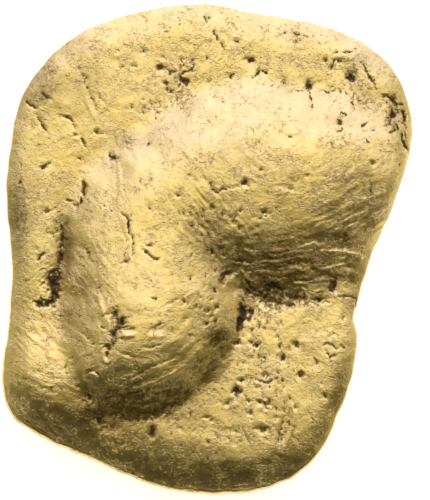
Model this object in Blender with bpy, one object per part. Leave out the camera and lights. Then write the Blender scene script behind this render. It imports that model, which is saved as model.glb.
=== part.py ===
"""A worn gold stater coin: a thick nugget-like flan with an irregular struck hump on its upper side
and a shallow dish in its lower side. It lies flat, hump upwards, on a narrow land round the dish.

Run it with: blender --background --python part.py

All sizes and places below are in millimetres. X runs across the coin, Y along it and Z up. The origin is
under the middle of the coin's box, on the plane that it lies on.
"""

import math

import bmesh
import bpy
import numpy as np

MM = 0.001

# Driving sizes
LENGTH = 17.0
FIELD_HEIGHT = 1.98
EDGE_HEIGHT = 1.20
DISH_DEPTH = 0.42

# The outline, anticlockwise from the right-hand side. Each point is a place where its bend changes.
OUTLINE = (
    (5.77, 0.00),
    (6.26, 1.15),
    (6.74, 2.50),
    (7.08, 4.10),
    (6.72, 5.70),
    (5.75, 6.90),
    (4.35, 7.62),
    (2.85, 7.98),
    (1.42, 8.22),
    (-0.10, 8.50),
    (-1.60, 8.38),
    (-3.00, 8.05),
    (-4.42, 7.50),
    (-5.68, 6.45),
    (-6.50, 5.12),
    (-6.80, 3.85),
    (-6.97, 2.40),
    (-6.93, 1.10),
    (-6.83, 0.00),
    (-6.82, -1.20),
    (-6.93, -2.75),
    (-7.14, -4.30),
    (-6.86, -5.68),
    (-5.62, -6.58),
    (-4.24, -7.20),
    (-2.90, -7.78),
    (-1.50, -8.28),
    (-0.05, -8.48),
    (1.45, -8.42),
    (2.85, -7.95),
    (3.95, -6.95),
    (4.57, -5.58),
    (5.03, -4.30),
    (5.18, -3.05),
    (5.08, -2.42),
    (5.19, -1.85),
    (5.42, -1.00),
)

# The upper face's rounding: how far in from the outline it starts, how far it drops, how much more of both
# there is at the coin's low end, that end's bearing in degrees and its narrowness, how much further in it
# starts at the coin's upper end, and that end's narrowness
UPPER_ROUNDING = 0.68
UPPER_DROP = 0.18
LOW_END_ROUNDING = 1.40
LOW_END_DROP = 0.30
LOW_END_BEARING = 252
LOW_END_POWER = 3
HIGH_END_ROUNDING = 0.60
HIGH_END_POWER = 4

# The lower face's rounding: how far in it starts, and how much further at the coin's lower end
LOWER_ROUNDING = 1.25
LOWER_SWING = 0.20

# The steep band round the edge between the two roundings: the height of its foot, its bulge, how much more
# of that there is at the coin's low end, and its waist where the two faces meet
BAND_FOOT = 0.94
BAND_BULGE = 0.08
LOW_END_BULGE = 0.12
WAIST_HEIGHT = 0.06

# Shares of each face's rings that the rounding and the band take up
ROUNDED_SHARE = 0.20
BAND_SHARE = 0.08

# How the upper face's open field climbs with y
FIELD_CLIMB = 0.004

# The hump's crest, from its right-hand end round to its lower end: x, y, how far it rises above the field,
# and how far its side reaches outwards from the bend and inwards
CREST = (
    (5.60, 3.35, 0.32, 2.3, 4.1),
    (4.60, 3.25, 0.59, 2.4, 4.1),
    (3.00, 3.10, 0.77, 2.6, 4.8),
    (1.20, 2.80, 0.74, 3.3, 4.8),
    (-0.45, 2.10, 0.62, 3.2, 4.6),
    (-1.40, 1.40, 0.57, 3.4, 4.6),
    (-1.95, 0.40, 0.60, 3.6, 4.6),
    (-2.10, -0.80, 0.67, 3.4, 4.0),
    (-2.20, -2.00, 0.77, 2.9, 3.6),
    (-2.40, -2.90, 0.86, 2.7, 2.9),
)
HUMP_FALL = 1.00
INNER_POWER = 2.5
HUMP_SOFTNESS = 0.04
HUMP_FILLET = 0.20
CREST_STEPS = 8

# Smaller swells and hollows of the upper face: x, y, heading in degrees, half length, half width, height
SWELLS = {
    "corner lump": (-5.00, -4.60, -20, 1.8, 1.4, 0.28),
    "left rim": (-5.60, 0.20, 90, 2.4, 0.60, 0.08),
    "left groove": (-5.00, -0.40, 85, 1.3, 0.22, -0.14),
    "valley floor": (2.20, -1.40, 6, 1.4, 0.45, -0.12),
    "right shoulder": (5.50, 5.40, 90, 1.2, 1.1, 0.10),
    "right hollow": (4.70, 0.20, 15, 1.3, 0.8, -0.11),
    "lower field": (2.10, -5.10, 0, 2.0, 1.3, 0.06),
    "valley head": (0.65, -0.45, -50, 1.3, 0.75, -0.14),
    "right lip": (4.45, -3.90, 90, 1.3, 0.8, 0.06),
}

# The lower face: where the land starts, as a share of the way out to the edge, and worn rays in the dish
LAND_FROM = 0.60
LAND_SWING = 0.03
RAY_COUNT = 5
RAY_HEIGHT = 0.09

# Cuts along each side of the square grids that become the two faces
UPPER_CUTS = 60
LOWER_CUTS = 28

GOLD = (0.83, 0.62, 0.27, 1.0)


def clear_scene():
    for obj in list(bpy.data.objects):
        bpy.data.objects.remove(obj, do_unlink=True)


def catmull_rom(before, start, end, after, t):
    return 0.5 * (
        2 * start
        + (end - before) * t
        + (2 * before - 5 * start + 4 * end - after) * t**2
        + (3 * start - before - 3 * end + after) * t**3
    )


def smooth_loop(points, steps=12):
    """A closed smooth curve through the points, with some steps from each point to the next."""
    p = np.array(points, float)
    before, end, after = np.roll(p, 1, 0), np.roll(p, -1, 0), np.roll(p, -2, 0)
    rows = [catmull_rom(before, p, end, after, t) for t in np.arange(steps) / steps]
    return np.stack(rows, 1).reshape(-1, 2)


def smooth_line(points, steps):
    """An open smooth curve through the points."""
    p = np.array(points, float)
    p = np.vstack((2 * p[0] - p[1], p, 2 * p[-1] - p[-2]))
    rows = [catmull_rom(p[:-3], p[1:-2], p[2:-1], p[3:], t) for t in np.arange(steps) / steps]
    return np.vstack((np.stack(rows, 1).reshape(-1, p.shape[1]), p[-2]))


def centred_outline():
    """The smooth outline with its box centred on the origin, and as long as LENGTH."""
    loop = smooth_loop(OUTLINE)
    low, high = loop.min(0), loop.max(0)
    return (loop - (low + high) / 2) * LENGTH / (high - low)[1]


def outline_radius(outline, bearing):
    """How far the outline lies from the origin in each direction."""
    bearings = np.arctan2(outline[:, 1], outline[:, 0])
    order = np.argsort(bearings)
    radii = np.hypot(outline[:, 0], outline[:, 1])[order]
    return np.interp(bearing, bearings[order], radii, period=2 * math.pi)


def hump_rise(x, y):
    """The soft envelope of a row of domes along the crest, wider on one side than on the other."""
    crest = smooth_line(CREST, CREST_STEPS)
    run = np.gradient(crest[:, :2], axis=0)
    run = run / np.hypot(run[:, 0], run[:, 1])[:, None]
    total = np.zeros(x.shape)
    for (crest_x, crest_y, rise, outer, inner), (run_x, run_y) in zip(crest, run):
        dx, dy = x - crest_x, y - crest_y
        distance = np.hypot(dx, dy) + 1e-9
        outwards = (dx * run_y - dy * run_x) / distance
        share = distance / ((outer + inner) / 2 + outwards * (outer - inner) / 2)
        fall = HUMP_FALL * (share**2 * (1 + outwards) + share**INNER_POWER * (1 - outwards)) / 2
        total += np.exp((rise - fall) / HUMP_SOFTNESS)
    return HUMP_SOFTNESS * np.log(total + 1e-300)


def swell_height(x, y, centre_x, centre_y, heading, half_length, half_width, height):
    """A smooth bump or hollow, longer along its heading."""
    turn = math.radians(heading)
    dx, dy = x - centre_x, y - centre_y
    along = (dx * math.cos(turn) + dy * math.sin(turn)) / half_length
    across = (dy * math.cos(turn) - dx * math.sin(turn)) / half_width
    return height * np.exp(-(along**2) - across**2)


def filleted_max(a, b, fillet):
    """The higher of two surfaces, with a small fillet where they cross."""
    return np.maximum(a, b) + np.maximum(fillet - np.abs(a - b), 0) ** 2 / (4 * fillet)


def upper_face(x, y):
    """Height of the struck side, before its edge is rounded over."""
    height = FIELD_HEIGHT + filleted_max(FIELD_CLIMB * y, hump_rise(x, y), HUMP_FILLET)
    for swell in SWELLS.values():
        height = height + swell_height(x, y, *swell)
    return height


def lower_face(share, bearing):
    """Height of the dished side, by the share of the way out to the edge and the direction."""
    inside = np.clip(share / (LAND_FROM + LAND_SWING * np.sin(2 * bearing)), 0, 1)
    bowl = (1 - inside**2) ** 2
    rays = RAY_HEIGHT * np.cos(RAY_COUNT * bearing) * inside * bowl
    return DISH_DEPTH * bowl - rays


def disc_of_square(u, v):
    """(share of the way out, bearing) on a disc for each place of a square grid, ring for ring."""
    wide = np.abs(u) >= np.abs(v)
    with np.errstate(divide="ignore", invalid="ignore"):
        slant = np.where(wide, v / u, u / v)
    slant = np.nan_to_num(slant) * math.pi / 4
    bearing = np.where(wide, slant + np.where(u < 0, math.pi, 0), np.where(v < 0, -1, 1) * math.pi / 2 - slant)
    return np.maximum(np.abs(u), np.abs(v)), bearing


def add_face(bm, cuts, outline, upper):
    """Adds a square grid and presses it into one face of the coin. Returns its outermost edges."""
    made = bmesh.ops.create_grid(bm, x_segments=cuts, y_segments=cuts, size=1)
    verts = made["verts"]
    flat = np.array([v.co[:2] for v in verts])
    ring, bearing = disc_of_square(flat[:, 0], flat[:, 1])
    radius = outline_radius(outline, bearing)
    low_end = np.maximum(np.cos(bearing - math.radians(LOW_END_BEARING)), 0) ** LOW_END_POWER
    if upper:
        high_end = np.maximum(np.sin(bearing), 0) ** HIGH_END_POWER
        rounding = UPPER_ROUNDING + LOW_END_ROUNDING * low_end + HIGH_END_ROUNDING * high_end
    else:
        rounding = LOWER_ROUNDING - LOWER_SWING * np.sin(bearing)
    bulge = BAND_BULGE + LOW_END_BULGE * low_end
    turn = np.clip((ring - 1 + BAND_SHARE) / ROUNDED_SHARE + 1, 0, 1) * math.pi / 2
    dip = np.clip((ring - 1) / BAND_SHARE + 1, 0, 1) * math.pi / 2
    inner = np.clip(ring / (1 - BAND_SHARE - ROUNDED_SHARE), 0, 1)
    out = inner * (radius - rounding) + np.sin(turn) * (rounding - bulge) + np.sin(dip) * bulge
    x, y = out * np.cos(bearing), out * np.sin(bearing)
    if upper:
        face = upper_face(x, y) - (UPPER_DROP + LOW_END_DROP * low_end) * np.sin(turn) ** 2
        waist = EDGE_HEIGHT + WAIST_HEIGHT / 2
    else:
        face = BAND_FOOT + (lower_face(out / radius, bearing) - BAND_FOOT) * np.cos(turn)
        waist = EDGE_HEIGHT - WAIST_HEIGHT / 2
    z = waist + np.cos(dip) * (face - waist)
    for vert, place in zip(verts, zip(x, y, z)):
        vert.co = place
    return list({e for v in verts for e in v.link_edges if e.is_boundary})


def coin_mesh():
    """The closed body: two pressed faces, joined by the narrow wall at the widest part of the edge."""
    outline = centred_outline()
    bm = bmesh.new()
    rims = [add_face(bm, UPPER_CUTS, outline, True), add_face(bm, LOWER_CUTS, outline, False)]
    bmesh.ops.bridge_loops(bm, edges=rims[0] + rims[1])
    bmesh.ops.triangulate(bm, faces=bm.faces)
    bmesh.ops.recalc_face_normals(bm, faces=bm.faces)
    bmesh.ops.scale(bm, vec=(MM, MM, MM), verts=bm.verts)
    mesh = bpy.data.meshes.new("stater_coin")
    bm.to_mesh(mesh)
    bm.free()
    mesh.shade_smooth()
    return mesh


def gold_material():
    material = bpy.data.materials.new("worn_gold")
    material.use_nodes = True
    shader = material.node_tree.nodes["Principled BSDF"]
    shader.inputs["Base Color"].default_value = GOLD
    shader.inputs["Metallic"].default_value = 1.0
    shader.inputs["Roughness"].default_value = 0.38
    return material


def main():
    clear_scene()
    collection = bpy.data.collections.new("stater coin")
    bpy.context.scene.collection.children.link(collection)
    coin = bpy.data.objects.new("stater_coin", coin_mesh())
    coin.data.materials.append(gold_material())
    collection.objects.link(coin)


main()
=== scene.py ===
"""The looks of a worn gold stater coin: one mesh in place of the plain solid, with the same form and the
fine relief of its struck side, a worn gold material with dirt in its pits, a pale floor and soft light.

Lengths are in millimetres. The marks of the struck side lie where the photograph shows them, and are placed
by its pixels, in its 430 by 500 frame.
"""

import math

import bmesh
import bpy
import numpy as np
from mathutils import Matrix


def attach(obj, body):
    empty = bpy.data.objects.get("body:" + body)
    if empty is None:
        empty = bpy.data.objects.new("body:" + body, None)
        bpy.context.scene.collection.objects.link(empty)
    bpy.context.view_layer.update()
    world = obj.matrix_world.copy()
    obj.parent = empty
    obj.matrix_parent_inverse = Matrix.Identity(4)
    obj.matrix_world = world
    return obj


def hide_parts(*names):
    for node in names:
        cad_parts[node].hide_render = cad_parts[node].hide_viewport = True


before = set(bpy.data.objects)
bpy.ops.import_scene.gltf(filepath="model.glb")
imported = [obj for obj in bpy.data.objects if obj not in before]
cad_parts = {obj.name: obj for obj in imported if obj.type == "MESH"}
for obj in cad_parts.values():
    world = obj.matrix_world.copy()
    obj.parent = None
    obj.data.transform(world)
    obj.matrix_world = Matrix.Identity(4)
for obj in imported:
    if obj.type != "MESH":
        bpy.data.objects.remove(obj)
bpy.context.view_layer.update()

MM = 0.001

# The form, with the same driving sizes as the solid
LENGTH = 17.0
FIELD_HEIGHT = 1.98
EDGE_HEIGHT = 1.20
DISH_DEPTH = 0.42

# The outline, anticlockwise from the right-hand side. Each point is a place where its bend changes.
OUTLINE = (
    (5.77, 0.00), (6.26, 1.15), (6.74, 2.50), (7.08, 4.10), (6.72, 5.70),
    (5.75, 6.90), (4.35, 7.62), (2.85, 7.98), (1.42, 8.22), (-0.10, 8.50),
    (-1.60, 8.38), (-3.00, 8.05), (-4.42, 7.50), (-5.68, 6.45), (-6.50, 5.12),
    (-6.80, 3.85), (-6.97, 2.40), (-6.93, 1.10), (-6.83, 0.00), (-6.82, -1.20),
    (-6.93, -2.75), (-7.14, -4.30), (-6.86, -5.68), (-5.62, -6.58), (-4.24, -7.20),
    (-2.90, -7.78), (-1.50, -8.28), (-0.05, -8.48), (1.45, -8.42), (2.85, -7.95),
    (3.95, -6.95), (4.57, -5.58), (5.03, -4.30), (5.18, -3.05), (5.08, -2.42),
    (5.19, -1.85), (5.42, -1.00),
)

# The upper face's rounding: how far in from the outline it starts, how far it drops, how much more of both
# there is at the coin's low end, that end's bearing in degrees and its narrowness, how much further in it
# starts at the coin's upper end, and that end's narrowness
UPPER_ROUNDING = 0.68
UPPER_DROP = 0.18
LOW_END_ROUNDING = 1.40
LOW_END_DROP = 0.30
LOW_END_BEARING = 252
LOW_END_POWER = 3
HIGH_END_ROUNDING = 0.60
HIGH_END_POWER = 4

# The lower face's rounding, and how much more of it there is at the lower end
LOWER_ROUNDING = 1.25
LOWER_SWING = 0.20

# The steep band between the two roundings: its foot, its bulge, how much more of that there is at the coin's
# low end, and its waist where the two faces meet
BAND_FOOT = 0.94
BAND_BULGE = 0.08
LOW_END_BULGE = 0.12
WAIST_HEIGHT = 0.02

# Shares of each face's rings that the rounding and the band take up
ROUNDED_SHARE = 0.14
BAND_SHARE = 0.05

# How much the field climbs towards the coin's upper end, per millimetre
FIELD_CLIMB = 0.004

# The hump's crest, from its right-hand end round to its lower end: x, y, how far it rises above the field,
# and how far its side reaches outwards from the bend and inwards
CREST = (
    (5.60, 3.35, 0.32, 2.3, 4.1),
    (4.60, 3.25, 0.59, 2.4, 4.1),
    (3.00, 3.10, 0.77, 2.6, 4.8),
    (1.20, 2.80, 0.74, 3.3, 4.8),
    (-0.45, 2.10, 0.62, 3.2, 4.6),
    (-1.40, 1.40, 0.57, 3.4, 4.6),
    (-1.95, 0.40, 0.60, 3.6, 4.6),
    (-2.10, -0.80, 0.67, 3.4, 4.0),
    (-2.20, -2.00, 0.77, 2.9, 3.6),
    (-2.40, -2.90, 0.86, 2.7, 2.9),
)

# How steeply the hump falls, its inner side's power, how softly its domes run into one another and it runs
# into the field, how many domes there are from one point to the next, and what these weigh together
HUMP_FALL = 1.00
INNER_POWER = 2.5
HUMP_SOFTNESS = 0.04
HUMP_FILLET = 0.20
CREST_STEPS = 24
CREST_WEIGHT = 8

# Smaller swells and hollows of the upper face: x, y, heading in degrees, half length, half width, height
SWELLS = {
    "corner lump": (-5.00, -4.60, -20, 1.8, 1.4, 0.28),
    "left rim": (-5.60, 0.20, 90, 2.4, 0.60, 0.08),
    "left groove": (-5.00, -0.40, 85, 1.3, 0.22, -0.14),
    "valley floor": (2.20, -1.40, 6, 1.4, 0.45, -0.12),
    "right shoulder": (5.50, 5.40, 90, 1.2, 1.1, 0.10),
    "right hollow": (4.70, 0.20, 15, 1.3, 0.8, -0.11),
    "lower field": (2.10, -5.10, 0, 2.0, 1.3, 0.06),
    "valley head": (0.65, -0.45, -50, 1.3, 0.75, -0.14),
    "right lip": (4.45, -3.90, 90, 1.3, 0.8, 0.06),
}

# The lower face: where the land starts, as a share of the way out to the edge, how much that swings, and
# the worn rays in the dish
LAND_FROM = 0.60
LAND_SWING = 0.03
RAY_COUNT = 5
RAY_HEIGHT = 0.09

# Cuts along each side of the square grids that become the two faces
UPPER_CUTS = 290
LOWER_CUTS = 110

# The photograph's frame: the coin's middle and its length, in pixels
MIDDLE_PX = (207.0, 249.5)
LENGTH_PX = 492
PIXEL = LENGTH / LENGTH_PX
PHOTO_SIZE = (430, 500)

# How far the shaded side of a mark lies left of its middle and above it, in pixels
SHADED_SIDE = (0.2, 1.3)

# The camera's lens and sensor, and how far it stands above the widest part of the edge
LENS = 200
SENSOR = 36
CAMERA_DISTANCE = PHOTO_SIZE[1] * PIXEL * LENS / SENSOR

# The marks below are in pixels of the photograph, from its upper left corner, and their depths in
# millimetres.

# Pits: x, y, half width, half height, depth
PITS = (
    # Round pit and star
    (350.8, 75.8, 3.9, 4.9, 0.1), (308.3, 85, 3, 3.2, 0.09),
    # Above the hump, and top left
    (250.5, 59.5, 3.4, 2.2, 0.07), (230.9, 75.4, 2.4, 2.2, 0.06), (236.3, 39.8, 4, 1.5, 0.05),
    (143.3, 50, 2.2, 1.9, 0.06), (159.7, 66.9, 2.8, 2.5, 0.07), (162.8, 56.6, 1.4, 1.5, 0.04),
    (182.4, 79.5, 3.2, 2.2, 0.06),
    # Arc and curl
    (283.6, 81.6, 1.7, 2.1, 0.05), (331.6, 66.5, 2.1, 1.9, 0.06), (325.2, 60, 1.5, 1.4, 0.05),
    (341.2, 59.6, 3.8, 1.6, 0.06),
    # Under the right groove, and the crest's shoulder
    (362.8, 103.5, 2, 1.6, 0.05), (372.8, 101.5, 1.3, 1.8, 0.04), (339.9, 121.5, 1.9, 3.4, 0.06),
    (337.8, 129.6, 1.6, 1.6, 0.05),
    # Right edge
    (392.3, 113.5, 2.6, 4.4, 0.09), (389.2, 121.5, 2, 2.6, 0.07), (393, 97.5, 4.6, 2.4, 0.03),
    # Crest and its slope
    (289.5, 135.5, 3.6, 1.2, 0.04), (372, 162, 2.4, 1.6, 0.05), (245.5, 181.5, 3, 3, 0.08),
    (290.8, 188.1, 2, 2.1, 0.06), (307.2, 174.4, 1.5, 1.2, 0.04), (260.6, 167.8, 1.3, 1.3, 0.04),
    (264, 211, 2.4, 1.9, 0.05),
    # Saddle
    (212, 206.2, 1.9, 2, 0.05), (211.3, 250.8, 2.5, 2.4, 0.07), (177.5, 194.2, 2.2, 1.3, 0.04),
    (189.2, 174, 1.3, 1.9, 0.04),
    # Left field, and its upright slot
    (113, 157.7, 3, 2.2, 0.07), (95.3, 131.4, 2.1, 1.6, 0.05), (75.4, 133.4, 1.8, 1.4, 0.05),
    (44.6, 166.2, 2.3, 1.9, 0.06), (83.4, 188.8, 1.9, 6.6, 0.09), (75.4, 204.8, 2.2, 1.3, 0.05),
    # Left rim and groove
    (47.3, 209.9, 3.4, 1.7, 0.06), (62.4, 236.4, 1.8, 4.6, 0.06), (60.3, 257.5, 2.6, 5, 0.08),
    # Hook
    (53, 282, 5.6, 7.4, 0.12), (55.6, 293, 2.4, 5, 0.09), (49.5, 302, 4.2, 2.4, 0.08),
    (39.8, 302, 4.4, 2.4, 0.09),
    # Cluster, and round it
    (122, 321, 3.4, 3.2, 0.09), (113.8, 312.5, 3, 3.6, 0.05), (113.8, 332.9, 2.4, 3.4, 0.07),
    (107.8, 346.5, 3.2, 2.8, 0.08), (106.5, 353.5, 1.6, 3, 0.06), (158.8, 323.6, 2, 2.4, 0.05),
    (85.7, 304.3, 1.8, 1.6, 0.05),
    # Lobe
    (183.7, 300.2, 1.7, 2.4, 0.06), (216.7, 306.3, 2.4, 2.2, 0.06), (205.7, 322.8, 2.8, 1.8, 0.06),
    (125.5, 260.4, 2.2, 1.8, 0.05),
    # Valley, with its deepest pit
    (228.4, 272, 4.2, 2.6, 0.06), (221.5, 279, 2.8, 3.2, 0.055), (272, 285, 5.2, 4.2, 0.12),
    (264, 296, 4, 3, 0.08), (333.3, 285, 2.2, 4.8, 0.08), (317.5, 298.8, 6, 1.8, 0.07),
    (290, 304.5, 3, 1.8, 0.06),
    # Dark slot
    (241.5, 309, 3, 5, 0.11), (239.6, 322, 2.5, 6, 0.11), (250.3, 311, 2.2, 3.2, 0.07),
    # Lower field: crescent, double, brown and leafy pits
    (237.2, 341, 2.6, 2.2, 0.06), (256.4, 344.6, 2.6, 2.8, 0.07), (282.4, 356.2, 3.2, 3.4, 0.05),
    (279.7, 344.6, 1.5, 1.5, 0.04), (296, 343.9, 2.5, 3.4, 0.06), (300.3, 374, 3.8, 3.2, 0.07),
    # Round the lower field's arc
    (264.6, 374, 2.3, 2.3, 0.06), (241.3, 379, 3.8, 1.8, 0.06), (236.2, 390, 3.2, 3.4, 0.09),
    (228.6, 402.4, 2.4, 2, 0.06),
    # Lower field's end
    (260.5, 401.5, 3, 1.3, 0.05), (267.4, 403.5, 2.2, 1.6, 0.05), (249.5, 412.4, 2.2, 2.4, 0.05),
    (295.5, 407, 1.9, 1.7, 0.05), (261.9, 428.9, 4.6, 3.2, 0.04), (216, 443.3, 1.4, 1.7, 0.04),
    (193.3, 452.2, 1.9, 1.5, 0.04),
    # Right-hand band
    (325, 394.6, 3.2, 2, 0.04), (321.5, 383, 1.5, 1.7, 0.04),
    # Under the lobe, and the corner
    (89, 396, 2.7, 3, 0.08), (99, 417.5, 3.4, 4.4, 0.1), (152.2, 431, 2.7, 4.6, 0.1),
    # Right field
    (342.9, 317.5, 1.5, 1.7, 0.05), (315.8, 361.5, 1.6, 2.6, 0.05),
)

# Cracks and scratches: half width, depth, then the points they run through
CRACKS = (
    # Scratch from the top edge, and fork
    (1.3, 0.03, (202.7, 13.7), (213.7, 31.5), (227.4, 52.1)),
    (1.2, 0.04, (250.7, 78.2), (257, 72.5), (259, 67.2)), (1.1, 0.036, (258, 71), (267.2, 71.3)),
    # Star
    (1, 0.022, (289, 89.8), (296, 90.4), (305, 88)),
    (1, 0.024, (311, 88.6), (324.8, 90), (337, 89.8), (352.2, 93.2)),
    (1.1, 0.036, (308.8, 88), (310.4, 96), (312.4, 109.7)),
    # Curl
    (1, 0.03, (336, 57.6), (333, 61), (333, 64.4)), (1.1, 0.036, (333, 53.5), (338.5, 49.4)),
    (1.1, 0.038, (341.2, 51.4), (348, 50.2), (356.3, 50)),
    # Right groove
    (1.8, 0.031, (356.3, 59), (363.2, 63), (367.3, 72.7), (374.1, 82.3), (379.6, 94.6)),
    (1.4, 0.045, (379.6, 94.6), (389.2, 96), (396, 101.5), (404.3, 102.8)),
    # By the round pit
    (1, 0.024, (357, 80.9), (361.5, 81.5), (364, 86)),
    (1, 0.026, (354.3, 89), (352.2, 98.7), (354.3, 107)), (1.2, 0.034, (360.4, 125.5), (368.7, 120.7)),
    # Crest's shoulder
    (1.2, 0.032, (337, 117.5), (340.5, 121.5), (342, 128), (338, 130.5)),
    (1, 0.026, (338.5, 113.5), (343, 111.5), (347, 113.5), (343, 116)),
    (1.2, 0.03, (370, 129.6), (375.5, 127.5)),
    # Right edge
    (1.3, 0.04, (401, 107.7), (404, 115), (401.6, 123.4)), (1.3, 0.04, (395, 121), (398.8, 128.5)),
    (1.3, 0.036, (389.2, 131.6), (396, 128.9)), (1.6, 0.045, (400.5, 130), (403.3, 142), (408, 149.5)),
    (1.1, 0.03, (366.6, 135.8), (370, 149.5)),
    # Near the top
    (1, 0.026, (276.8, 35.7), (285, 31.8), (296, 32.9), (309.7, 35)),
    (1, 0.032, (293.2, 40.8), (302.2, 38.8)),
    # Speckled patch, and top left
    (1.1, 0.034, (192.7, 61.7), (192.9, 65.8), (189.2, 69.4), (182.4, 71.3)),
    (1.1, 0.03, (206, 54.5), (206.8, 57.5), (206, 60)),
    (1.1, 0.03, (162, 81), (165.8, 82), (166, 87), (163.6, 89)), (1, 0.026, (127.5, 63.8), (137, 65.1)),
    (1.6, 0.026, (162, 66.4), (171, 69.8), (177, 70)), (1, 0.016, (163, 24.7), (168, 35), (172.8, 43.9)),
    (1, 0.018, (113.8, 53.5), (124.8, 43.9)), (1.1, 0.02, (133.7, 32.9), (141.2, 26)),
    # Left field: long scratch, smudges, curved crack and the pits' tails
    (1.3, 0.018, (78.2, 63.8), (82.3, 75.4), (89.1, 90.5), (94.6, 104), (98.7, 116.6)),
    (1.1, 0.02, (96, 91.9), (105.6, 102.8)), (1.5, 0.04, (26, 100), (31, 104.5), (35.7, 107)),
    (1.3, 0.034, (41, 90.5), (46, 95.5), (50.7, 98.7)),
    (1.1, 0.036, (60.3, 115.9), (67.2, 115.9), (73, 121.4), (75.8, 128)),
    (1.2, 0.034, (81, 136), (83.5, 141), (86.4, 148)), (1.5, 0.03, (36.5, 113.8), (41, 122), (47, 131.6)),
    (1, 0.02, (97, 131.6), (108.3, 132.3)), (1, 0.024, (45.5, 165), (52, 159.7)),
    (1.3, 0.036, (109, 151), (111.5, 156), (120.7, 157)),
    # Upright slot
    (1.1, 0.034, (81, 196), (80.9, 200.7), (75.7, 204.8)), (1.1, 0.032, (65.8, 199.2), (72.7, 200)),
    # Left groove, the hook's ring and the rim
    (1.8, 0.028, (59.5, 216), (61.7, 226.8), (62.4, 239), (60.3, 248.7), (59.4, 266)),
    (1.6, 0.06, (48, 279), (49, 273), (54.8, 269.3), (59, 271.5), (57.5, 279)),
    (1.3, 0.034, (37, 259.7), (41, 254.5), (45.2, 251.5)), (1, 0.016, (21.3, 284.6), (34.3, 274.8)),
    (1.2, 0.028, (52, 231.3), (53.5, 237.8)),
    # Lobe
    (1.2, 0.034, (120.7, 211.7), (127.5, 217.2), (128.9, 230.9), (132.3, 237.8), (133, 257)),
    (1, 0.022, (123.4, 232.3), (127.5, 240.5)), (1, 0.02, (128.9, 244.6), (125, 252), (123.4, 258.3)),
    (1.2, 0.034, (141.2, 247.4), (149.5, 254.2), (156.3, 259), (160.8, 257.2)),
    # Slope and saddle
    (1.2, 0.036, (240, 185.2), (222.9, 188), (216, 191.4), (210.6, 184.3), (209, 179.5)),
    (1.1, 0.022, (321.6, 174.9), (334, 176)), (1.1, 0.028, (371, 181.5), (370.6, 192.5)),
    (1.2, 0.028, (187.8, 209), (190.8, 215)), (1, 0.024, (182.5, 210), (184.5, 216)),
    (1, 0.022, (177.5, 210), (179.5, 215)),
    # Across the lobe and under it, and the corner's creases
    (1, 0.016, (160.4, 307), (174.1, 299.5), (192, 288.5)),
    (1.6, 0.016, (65.8, 320.6), (82.3, 331.5), (93.2, 342.5), (96, 353.5)),
    (1.4, 0.02, (118, 350.7), (131.6, 354.8), (142.6, 357.6)),
    (1.2, 0.022, (141.2, 346.6), (152, 346), (163, 343)),
    (2, 0.013, (8.2, 371.3), (27.4, 378.2), (45.2, 387.3), (64, 388)),
    (1.2, 0.036, (85, 373.5), (90, 369.8), (96, 370.8), (100.5, 376.8)),
    (1.4, 0.022, (119, 384), (137, 373), (155, 364), (178, 355)),
    # Lower right, with the swirl
    (1.2, 0.03, (338, 295.3), (354.5, 296.7), (356, 307.7)),
    (1.2, 0.028, (323, 347), (324.6, 342.5), (332, 343.5), (335.5, 348), (341, 345.4)),
    (1.2, 0.025, (339.5, 343.5), (345.5, 347.6)),
    (1.3, 0.026, (325, 349), (329.8, 355.4), (338.7, 353.5)),
    # Lower field: arc, gouge and lines
    (1.2, 0.036, (257.8, 379), (266, 381.2), (274.2, 378.2)),
    (1.5, 0.022, (285.2, 402), (283.4, 416.6), (278.3, 437), (274.2, 458)),
    (3, 0.014, (288.6, 403), (288.4, 418), (283.8, 434), (277.2, 455)),
    (1, 0.018, (242.7, 427.5), (246.8, 439.9)), (1.1, 0.018, (226.2, 435.7), (238.6, 445.3)),
    # Folds of the valley
    (2.6, 0.018, (244, 252), (250, 266), (260, 276), (268, 284)),
    (2.2, 0.02, (284, 275), (300, 279), (318, 276), (332, 270)),
    (2.2, 0.018, (262, 257), (285, 262), (300, 259)),
    # Lines of dirt in the valley
    (4.5, 0.025, (219, 278), (226, 270), (232, 272)),
    (7, 0.022, (240, 286), (254, 292), (268, 290), (284, 293), (300, 296), (324, 299)),
    (4.5, 0.022, (262, 302), (272, 298), (290, 303), (302, 302)),
    (3.4, 0.04, (262, 288), (270, 283), (279, 286), (284, 291)),
    (2.2, 0.038, (236, 288), (246, 288), (254, 293), (263, 296)),
    (2, 0.036, (246, 276), (250, 285), (257, 291)), (2.4, 0.038, (291, 297), (299, 295), (306, 298)),
    (2.4, 0.036, (220, 284), (224, 274), (231, 271)), (2, 0.034, (234, 260), (240, 259), (244, 262)),
    (4.5, 0.026, (328, 290), (334, 280), (336, 275)),
    # Lines of dirt in the slot, groove and hook
    (5.2, 0.04, (240, 302), (243.5, 311), (240, 320), (238, 332)),
    (3.4, 0.026, (250, 304), (252, 312), (246, 320)),
    (4.5, 0.014, (68, 214), (62, 232), (61, 252), (56, 270)),
    (3.4, 0.034, (56, 274), (54, 288), (51, 300), (38, 304)),
    # Lines of dirt along the right edge and in the cluster, and lines of dirt and painted shade along the
    # lobe's foot
    (5, 0.013, (386, 95), (396, 101), (392, 114), (389, 126)),
    (2.4, 0.022, (402, 106), (404.5, 124), (405.5, 142)),
    (5.5, 0.021, (110, 308), (118, 320), (114, 334), (107, 350)),
    (9, 0.023, (92, 405), (118, 413), (146, 413), (168, 407), (190, 391)),
    (11, 0.012, (98, 392), (120, 397), (146, 396), (170, 389), (194, 374)),
    (8, 0.018, (86, 394), (92, 408), (99, 418), (106, 428)),
)

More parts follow.
